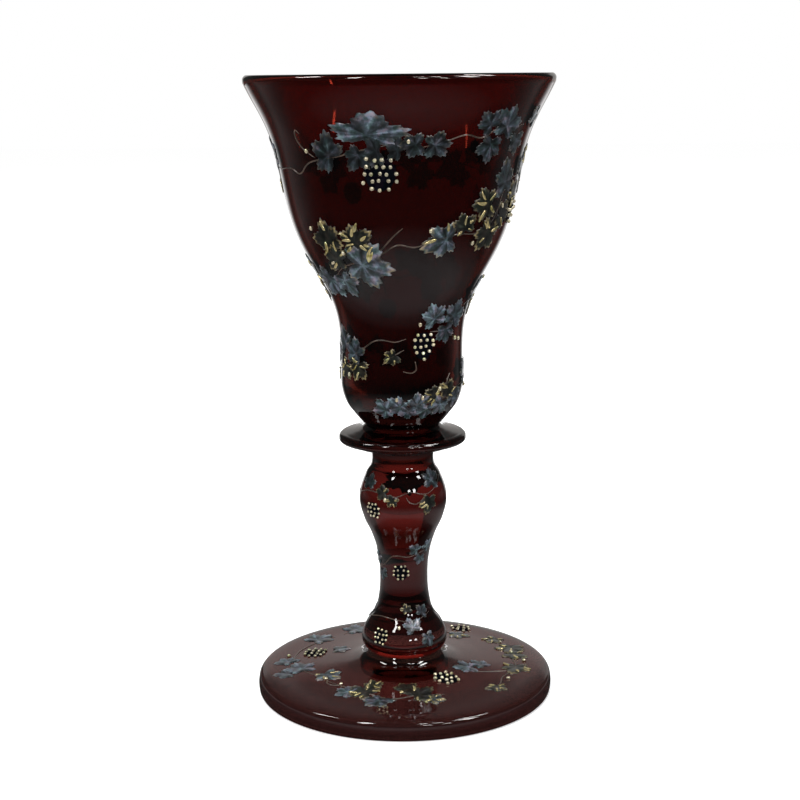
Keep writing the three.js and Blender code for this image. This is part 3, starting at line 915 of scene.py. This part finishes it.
paint("bowl_vine_2", stalks=[
    [(-72.2, 171.8), (-96, 172.5), (-122, 169), (-148, 171), (-178, 170), (-206, 171.5), (-234, 168.5),
     (-262, 170.5), (-292.6, 169)],
    [(-166, 171), (-170, 174), (-176, 175.5), (-178, 173.5)],
    [(-146, 171), (-149, 168), (-151, 165)],
    [(-232, 168.6), (-234, 166), (-236, 162.5)],
], leaves=[
    (-82, 175, 5.6, 20, 0.8, 0.2), (-98, 172, 7, 70, 0.8, 0.2), (-108, 167.5, 5.4, 170, 0.7, 0.6),
    (-126, 171, 6.8, 20, 0.9, 0.2), (-136, 166, 5.2, 150, 0.7, 0.7), (-180, 173, 7.2, 30, 1, 0.2, 1.2),
    (-190, 167.5, 5.6, 160, 0.7, 0.3), (-206, 170, 6.6, 100, 0.8, 0.7), (-222, 173, 5.4, 0, 0.9, 0.2),
    (-258, 172, 7, 50, 0.9, 0.2), (-270, 167.5, 5.6, 140, 0.7, 0.6), (-282, 171.5, 5.4, -20, 0.8, 0.2),
    (-90, 168.5, 5, 120, 0.55, 0.9), (-114, 172.5, 5, 10, 0.7, 0.2), (-132, 173.5, 5, -30, 0.5, 1),
    (-142, 170, 5.6, 60, 0.5, 0.95), (-172, 168.5, 5, 200, 0.6, 0.8), (-198, 173.5, 5, -20, 0.5, 1),
    (-214, 167, 5, 150, 0.5, 0.95), (-230, 171, 5.2, 60, 0.55, 0.9), (-264, 167, 5, 100, 0.5, 1),
    (-276, 174, 4.8, -10, 0.55, 0.8),
], dots=[(-116, 174), (-198, 175), (-246, 166)])

# %% Bowl, second turn
paint("bowl_vine_3", stalks=[
    [(67, 169), (62, 167), (58, 164), (54, 157), (44, 153), (30, 153), (16, 151), (7, 149.5), (-2, 150.2),
     (-12, 147), (-22, 145), (-36, 143), (-48, 139), (-58.8, 137.6)],
    [(-14, 147), (-9, 149.6), (-4, 152.8), (1, 155.4)],
], leaves=[
    (58, 167.5, 6.6, 10, 0.55, 0.3), (47, 161.5, 6.4, 95, 0.55, 0.75), (70, 163, 5.2, -40, 0.6, 0.85),
    (60, 158, 5.2, -100, 0.6, 0.7), (51, 153, 6.6, 150, 0.55, 1), (24, 151.4, 7.2, 105, 0.8, 0.95),
    (34, 155, 4.6, 20, 0.6, 0.6), (-41, 151, 7, 20, 0.45, 1), (-24, 151, 6.2, 5, 0.5, 1),
    (-38, 145.5, 6, 75, 0.6, 0.75), (-54, 138, 7.4, 150, 0.9, 0.15, 1.1),
    (-40, 138.6, 5.4, 200, 0.85, 0.2), (-23, 143.8, 9.4, -100, 0.95, 0.6),
], dots=[(-52, 154.5), (-33, 147.5), (15, 154.5), (41, 150)])
paint("bowl_vine_4", stalks=[
    [(-59.4, 137.6), (-72, 136.2), (-92, 138.5), (-118, 135), (-146, 137.5), (-176, 134), (-206, 136),
     (-236, 132), (-266, 134), (-298, 129)],
    [(-150, 137), (-156, 140.5), (-162, 141.5), (-164, 139)],
    [(-160, 136), (-164, 133), (-166, 129)],
], leaves=[
    (-78, 139.5, 5.6, 10, 0.8, 0.6), (-94, 138, 6.6, 60, 0.9, 0.2), (-104, 133, 5, 160, 0.7, 0.3),
    (-132, 137, 6.6, 90, 0.9, 0.7), (-142, 132, 5, 170, 0.7, 0.2), (-186, 137.5, 6.2, 20, 1, 0.2),
    (-202, 134, 6.4, 70, 0.8, 0.8), (-216, 138, 5, 0, 0.8, 0.2), (-250, 134, 6.4, 100, 0.9, 0.6),
    (-262, 129.5, 5, 180, 0.7, 0.2), (-282, 133, 5.4, 20, 0.8, 0.3), (-86, 134.5, 4.8, 170, 0.5, 0.95),
    (-110, 137, 4.8, 20, 0.8, 0.2), (-124, 133.5, 4.8, 150, 0.5, 1), (-152, 134, 5, 100, 0.5, 0.9),
    (-194, 139, 4.8, 0, 0.8, 0.2), (-210, 131.5, 4.8, 160, 0.5, 1), (-226, 134.5, 5.2, 60, 0.6, 0.8),
    (-256, 137.5, 4.8, 10, 0.8, 0.2), (-272, 129.5, 4.6, 150, 0.5, 0.9),
], dots=[(-114, 139), (-230, 136), (-272, 137)])

# %% Bowl, third turn
paint("bowl_vine_5", stalks=[
    [(66, 127), (52, 124), (38, 122), (26, 122)],
    [(4, 120), (-6, 119), (-16, 119.5), (-26, 119), (-37, 116.5), (-50, 114), (-66, 111), (-72.6, 109.8)],
    [(12, 112.8), (13, 110.2), (8, 109.2), (1, 109.8)],
    [(2, 116.5), (-8, 114.5), (-18, 111.8)],
], leaves=[
    (29, 126, 5.6, 15, 1.15, 0.15), (50, 126, 5.8, -20, 0.75, 0.15), (43, 122, 4.4, 190, 0.7, 0.15),
    (-8, 114.5, 3.4, 120, 0.5, 0.7), (-46, 114.5, 5.4, 60, 0.6, 0.35), (-64, 117, 5.2, 5, 0.6, 0.3),
    (-43, 110.5, 4.4, 160, 0.5, 0.9), (-62, 109.5, 4.2, 150, 0.5, 0.9),
], dots=[(56, 119), (62, 118.5), (16, 124.5), (-56, 107.5)])
paint("bowl_vine_6", stalks=[
    [(-73.2, 109.8), (-84, 109), (-104, 111.5), (-130, 108), (-158, 110), (-188, 107), (-218, 109),
     (-250, 105.5), (-296.9, 103.3)],
    [(-126, 108.5), (-132, 111.5), (-140, 112), (-142, 110)],
], leaves=[
    (-90, 112, 4.6, 10, 0.8, 0.2), (-104, 110.5, 5, 60, 0.9, 0.3), (-116, 106.5, 4.2, 170, 0.6, 0.9),
    (-176, 110, 5, 110, 0.9, 0.2), (-190, 105.5, 4.2, 170, 0.7, 0.8), (-204, 110.5, 4.6, 10, 0.8, 0.2),
    (-240, 108.5, 5, 60, 0.9, 0.3), (-254, 104, 4.2, 160, 0.6, 0.9), (-278, 106.5, 4.6, 30, 0.8, 0.2),
    (-98, 107, 4, 150, 0.5, 0.9), (-110, 112.5, 4, 0, 0.8, 0.2), (-124, 107, 4.2, 130, 0.5, 0.9),
    (-150, 111.5, 4.2, 20, 0.8, 0.2), (-164, 107.5, 4.2, 170, 0.6, 0.8), (-182, 105.5, 3.8, 200, 0.5, 0.9),
    (-228, 108.5, 4.4, 100, 0.7, 0.3), (-246, 103, 3.8, 180, 0.5, 0.9), (-262, 106.5, 4.2, 20, 0.7, 0.3),
], dots=[(-148, 106), (-224, 105.5), (-268, 102)])

# %% Bowl, last turn
paint("bowl_vine_7", stalks=[
    [(62.4, 103.3), (44, 100.5), (28, 99.5), (10, 99.2), (-8, 98.4), (-24, 97.4), (-34, 96.4)],
    [(44, 103), (46, 106), (50, 108)],
], leaves=[
    (47, 102, 4.4, -20, 0.5, 1), (30, 101.5, 3.8, 60, 0.6, 0.9), (40, 98.4, 4.6, 150, 0.9, 0.3),
    (57, 99.5, 4.2, -40, 0.8, 0.5), (14, 98.8, 4.2, -60, 0.85, 0.3), (24, 97.3, 3.6, 170, 0.8, 0.15),
    (-2, 98.2, 4.2, 60, 0.9, 0.15), (-16, 97.3, 4.2, 100, 0.9, 0.15), (6, 97, 3.4, 180, 0.8, 0.1),
], dots=[(-5, 100.8), (19, 101.2), (36, 103.6)])

# %% Stem
paint("stem_vine_knop", stalks=[
    [(72, 73), (50, 70), (30, 68.5), (10, 69.5), (-10, 68), (-30, 68.8), (-56, 69), (-90, 67), (-130, 69),
     (-170, 66.5), (-210, 68.5), (-250, 66)],
    [(28, 67.5), (18, 65.8), (8, 66.4), (4, 68)],
], leaves=[
    (-56, 71, 3.6, 0, 0.45, 0.15), (46, 72.3, 4.2, -10, 0.75, 0.15), (36, 66.2, 3.8, 170, 0.55, 0.8),
    (-27, 69, 3.2, 80, 0.45, 0.6), (-14, 67, 2.6, 150, 0.45, 0.7), (-150, 69, 3.8, 60, 0.8, 0.2),
    (-112, 66.5, 3.4, 150, 0.6, 0.7), (-215, 67.5, 3.8, 60, 0.8, 0.2), (-240, 70, 3.2, 0, 0.6, 0.6),
    (-182, 65, 3.2, 170, 0.6, 0.6),
], dots=[(-24, 67), (-132, 71)])
paint("stem_vine_waist", stalks=[
    [(80, 50), (52, 48.5), (30, 47.5), (8, 46.6), (-24, 46.8), (-60, 42.5), (-110, 44), (-160, 42),
     (-200, 43), (-230, 40)],
], leaves=[
    (26, 49, 2.7, 60, 1, 0.2), (52, 49.6, 2.7, -40, 1.1, 0.15), (38, 46.2, 2.4, 170, 0.9, 0.2),
    (-58, 40.5, 2.9, 180, 0.6, 0.3), (-70, 45, 2.7, 60, 0.7, 0.3), (-110, 45.5, 2.9, 20, 0.8, 0.2),
    (-160, 43, 2.9, 90, 0.8, 0.6), (-205, 44.5, 2.7, 20, 0.8, 0.2),
], dots=[(-135, 41), (-185, 46)])
paint("stem_vine_base", stalks=[
    [(60, 27), (36, 26), (14, 25), (-6, 25.5), (-52, 26), (-105, 24), (-150, 26), (-190, 23.5), (-250, 25)],
], leaves=[
    (14, 23.6, 3.8, 15, 1, 0.15), (38, 27.6, 2.8, -30, 0.6, 0.3), (6, 28.6, 2.2, 20, 0.6, 0.8),
    (34, 20.5, 3, 190, 0.8, 0.2), (-105, 25, 3.6, 60, 0.8, 0.2), (-130, 21.5, 3.2, 160, 0.7, 0.7),
    (-190, 24, 3.6, 90, 0.8, 0.2), (-216, 27, 3, 0, 0.7, 0.6),
], dots=[(-8, 23.5), (-160, 22)])

# %% Foot
paint("foot_vine_front", stalks=[
    [(24, 31), (8, 29.5), (-8, 32), (-22, 30), (-40, 29), (-58, 30)],
], leaves=[
    (-25, 29.5, 6, 70, 0.62, 0.6), (-14, 33.5, 5.6, 150, 0.75, 0.5), (-35, 31.5, 4.8, 95, 1.1, 0.2),
    (8, 29, 5.8, -60, 0.62, 0.6), (1, 25.5, 4.4, 20, 0.6, 0.6), (15, 33, 4, -120, 0.7, 0.8),
    (-24, 25, 4, 30, 0.6, 0.8),
], dots=[(-46, 28.5), (11, 35)])
paint("foot_vine_right", stalks=[
    [(128, 36), (112, 38.5), (96, 36.5), (82, 37), (68, 34.5), (58, 36), (48, 35)],
    [(78, 35), (72, 30), (66, 25)],
], leaves=[
    (112, 39, 6, 60, 0.62, 0.6), (102, 37, 5, 150, 0.6, 0.7), (84, 37, 6, 90, 0.62, 0.7),
    (54, 36.5, 4.2, 120, 0.6, 0.6), (70, 22.5, 5, 30, 1, 0.15), (80, 26, 4, -40, 0.9, 0.2),
    (126, 38.5, 4.6, 20, 0.6, 0.6),
], dots=[(67, 36.5), (93, 40)])
paint("foot_vine_back", stalks=[
    [(216, 36), (204, 38), (190, 34.5), (176, 36), (162, 33), (148, 33.5), (136, 33)],
], leaves=[
    (208, 38, 5.8, 90, 0.9, 0.2), (198, 33, 5.2, 0, 0.9, 0.2), (178, 35, 6, 60, 0.9, 0.3),
    (168, 30, 4.6, -20, 0.7, 0.7), (146, 32, 5, 120, 0.8, 0.6),
], dots=[(188, 39), (160, 37)])
paint("foot_vine_left", stalks=[
    [(-66, 29.5), (-76, 33), (-90, 36.5), (-106, 38), (-122, 37), (-138, 36)],
    [(-62, 27), (-54, 31), (-46, 29.5)],
], leaves=[
    (-82, 34.5, 6.2, 100, 1, 0.2), (-66, 28, 5.2, -80, 0.9, 0.6), (-94, 39, 4.6, 140, 0.9, 0.2),
    (-128, 38.5, 5.8, 90, 0.9, 0.3), (-78, 39.5, 4.2, 170, 0.8, 0.2), (-116, 25, 4.4, 20, 0.8, 0.3),
], dots=[(-60, 29.5), (-102, 40)])
for blank in (leaf_blank, drop_blank):
    bpy.data.objects.remove(blank)

# %% [markdown]
# ## Studio
# Glass shows what stands round it. The world is white and the floor is a pale sheet that keeps the
# goblet's shadow, so the goblet stands on a white ground. White all round would wash out the red, so what
# the glass shows of the sheet is painted. In reflections it is painted dim, with painted shadow close
# round the foot, and pale far behind the goblet, where only the edges of the glass mirror it, and in a
# ring round the foot, which lifts the underside of the bowl. Seen through the glass it is painted dimmer.

# %% World
WORLD_AMBIENT = 0.6
world = bpy.data.worlds.new("studio")
bpy.context.scene.world = world
world.use_nodes = True
tree = world.node_tree
paths = add(tree, "LightPath").outputs
outside = maths(tree, "MAXIMUM", paths["Is Camera Ray"], paths["Is Glossy Ray"])
seen = maths(tree, "MAXIMUM", outside, paths["Is Transmission Ray"])
wire(tree, tree.nodes["Background"], {
    "Color": (1, 1, 1, 1), "Strength": stretch(tree, seen, 0, 1, WORLD_AMBIENT, 1),
})
print("world light", WORLD_AMBIENT)

# %% Floor
FLOOR_SIZE = 8
FLOOR_PALE = 0.9
FLOOR_THROUGH = 0.12
FLOOR_GLOW = 0.45
FLOOR_ROUGHNESS = 0.9
NEAR_ENDS = 0.25
FAR_STARTS = 0.5
# Painted shade and light for reflections: dark close round the foot as a painted shadow of the goblet, pale
# in a ring beyond it and far behind the goblet.
NEAR_SHADES = (
    (0, 0.03), (0.055, 0.02), (0.068, 0.05), (0.08, 0.21), (0.1, 0.23), (0.13, 0.2), (0.17, 0.09),
    (0.25, 0.02),
)
BACK_SHADES = (
    (0, 1), (22, 1), (29, 0.35), (34, 0.06), (38, 0.02), (44, 0.03), (52, 0.1), (62, 0.09), (85, 0.03),
    (100, 0.017),
)

bpy.ops.mesh.primitive_plane_add(size=FLOOR_SIZE)
floor = bpy.context.object
floor.name = "floor"
paper, tree, sheet = new_material("white_sheet")
paths = add(tree, "LightPath").outputs
place = add(tree, "TexCoord").outputs["Object"]


def grey(shade):
    return (shade, shade, shade, 1)


def shading(measure, shades):
    """The painted brightness of the sheet in a reflection, by a distance in metres or an angle in degrees.
    """
    farthest = shades[-1][0]
    stops = [(far / farthest, grey(shade)[:3]) for far, shade in shades]
    return ramp(tree, stretch(tree, measure, 0, farthest), stops)


away = add(tree, "VectorMath", {0: place}, operation="LENGTH").outputs["Value"]
split = add(tree, "SeparateXYZ", {"Vector": place}).outputs
off_back = maths(tree, "ABSOLUTE", maths(tree, "ARCTAN2", split["X"], split["Y"]))
painted_reflection = choose(
    tree, stretch(tree, away, NEAR_ENDS, FAR_STARTS),
    shading(away, NEAR_SHADES), shading(maths(tree, "DEGREES", off_back), BACK_SHADES),
)
reflection, through = paths["Is Glossy Ray"], paths["Is Transmission Ray"]
seen = maths(tree, "MAXIMUM", paths["Is Camera Ray"], through)
lit, glow = (choose(tree, reflection, grey(shade), painted_reflection) for shade in (FLOOR_PALE, 0))
wire(tree, sheet, {
    "Roughness": FLOOR_ROUGHNESS, "Specular IOR Level": 0, "Emission Strength": FLOOR_GLOW,
    "Base Color": choose(tree, through, lit, grey(FLOOR_THROUGH)),
    "Emission Color": choose(tree, seen, glow, grey(1)),
})
floor.data.materials.append(paper)
print("floor", FLOOR_SIZE, "m wide")

# %% [markdown]
# ## Dim room
# A drum of dim walls stands round the goblet, and only reflections and refractions see it. The part of
# the drum behind the goblet is separated as a brighter sheet. The foot mirrors it, which gives the far
# half of the foot its soft grey sheen, and the glow of the sheet fades with height, so that the near half
# stays deep.

# %% Dim room
ROOM_RADIUS = 1.7
ROOM_HEIGHT = 1.8
ROOM_SIDES = 90
ROOM_GLOWS = ((0, 0.06), (1.8, 0.05))
SHEET_GLOWS = ((0, 0.55), (0.6, 0.5), (0.68, 0.3), (0.75, 0.17), (0.82, 0.13), (0.98, 0.12), (1.8, 0.1))
WALL_TINT = (1, 0.97, 0.94)
ROOM_THROUGH = 0.25
WINDOW_MIDDLE = math.radians(6)
WINDOW_HALF_ANGLE = math.radians(26)
UPRIGHT = 0.5

bpy.ops.mesh.primitive_cylinder_add(
    vertices=ROOM_SIDES, radius=ROOM_RADIUS, depth=ROOM_HEIGHT, location=(0, 0, ROOM_HEIGHT / 2)
)
room = bpy.context.object
room.name = "dim_room"
bpy.ops.object.transform_apply()
mode("EDIT")


def open_side(face):
    middle = face.calc_center_median()
    off_middle = abs(math.atan2(middle.x, middle.y) - WINDOW_MIDDLE)
    return off_middle < WINDOW_HALF_ANGLE and abs(face.normal.z) < UPRIGHT


pick(room, "faces", lambda face: face.normal.z < -UPRIGHT)
bpy.ops.mesh.delete(type="FACE")
pick(room, "faces", open_side)
bpy.ops.mesh.separate(type="SELECTED")
mode("OBJECT")
back_sheet = [piece for piece in bpy.context.selected_objects if piece != room][0]
back_sheet.name = "back_sheet"
back_sheet.visible_transmission = False
for wall, glows in ((room, ROOM_GLOWS), (back_sheet, SHEET_GLOWS)):
    shade, tree, shader = new_material(wall.name)
    place = add(tree, "TexCoord").outputs["Object"]
    rise = add(tree, "SeparateXYZ", {"Vector": place}).outputs["Z"]
    stops = [(height / ROOM_HEIGHT, [glow * part for part in WALL_TINT]) for height, glow in glows]
    through = add(tree, "LightPath").outputs["Is Transmission Ray"]
    faded = ramp(tree, stretch(tree, rise, 0, ROOM_HEIGHT), stops)
    wire(tree, shader, {
        "Base Color": grey(0), "Specular IOR Level": 0, "Emission Strength": 1,
        "Emission Color": choose(tree, through, faded, grey(ROOM_THROUGH)),
    })
    wall.data.materials.append(shade)
    wall.visible_camera = wall.visible_diffuse = wall.visible_shadow = False
    print(wall.name, len(wall.data.polygons), "faces")

# %% [markdown]
# ## Lamps
# Two large soft boxes light the enamel. They do not show in the glass, because a broad highlight would
# hide the ornament. The small highlights on the knop, the collar and the foot come from eight small lamps
# that show only as reflections, and the thin red streaks in the bowl come from two slits that show only
# inside the glass. The brightness of a lamp is set per area, so that a lamp can be resized without a
# change of glare.

# %% Lamps
LAMP_DISTANCE = 1.1
LAMP_AIM = Vector((0, 0, 0.1))
LAMP_GLOW = 22
SOFT_GLOW = 3.4
HALF_PASS = 0.5
SOFT_BOXES = (("top_softbox", 180, 78, 1, 1), ("key_softbox", -30, 50, 0.7, 0.7))
SMALL_LAMPS = (
    ("left_lamp", -90, 50, 0.14, 0.3), ("left_strip", -36, 43, 0.13, 0.42),
    ("high_lamp_1", 17, 50, 0.12, 0.1), ("high_lamp_2", 32, 50, 0.12, 0.1),
    ("low_lamp_1", 17, 19, 0.12, 0.1), ("low_lamp_2", 32, 19, 0.12, 0.1),
    ("right_strip", 58, 43, 0.17, 0.42), ("right_lamp", 92, 58, 0.14, 0.3),
)
SLITS = (("left_slit", -77, 32, 0.04, 0.26, 25), ("right_slit", 77, 41, 0.035, 0.26, 50))


def lamp(name, bearing, rise, width, height, glow):
    side, up = math.radians(bearing), math.radians(rise)
    direction = Vector((math.sin(side) * math.cos(up), -math.cos(side) * math.cos(up), math.sin(up)))
    bpy.ops.object.light_add(type="AREA", location=direction * LAMP_DISTANCE + LAMP_AIM)
    light = bpy.context.object
    light.name = name
    light.data.shape = "RECTANGLE"
    light.data.size = width
    light.data.size_y = height
    light.data.energy = glow * math.pi * width * height
    light.rotation_euler = direction.to_track_quat("Z", "Y").to_euler()
    light.visible_transmission = False
    return light


def shine(light, inside):
    """Let a lamp show only as a reflection: on the outside of the glass, or inside it."""
    light.visible_diffuse = False
    light.data.use_nodes = True
    tree = light.data.node_tree
    passes = add(tree, "LightPath").outputs["Transmission Depth"]
    gate = maths(tree, "GREATER_THAN" if inside else "LESS_THAN", passes, HALF_PASS)
    wire(tree, tree.nodes["Emission"], {"Strength": gate})


for name, *values in SOFT_BOXES:
    lamp(name, *values, SOFT_GLOW).visible_glossy = False
for name, *values in SMALL_LAMPS:
    shine(lamp(name, *values, LAMP_GLOW), False)
for name, *values in SLITS:
    shine(lamp(name, *values), True)
print(len(SOFT_BOXES + SMALL_LAMPS + SLITS), "lamps")
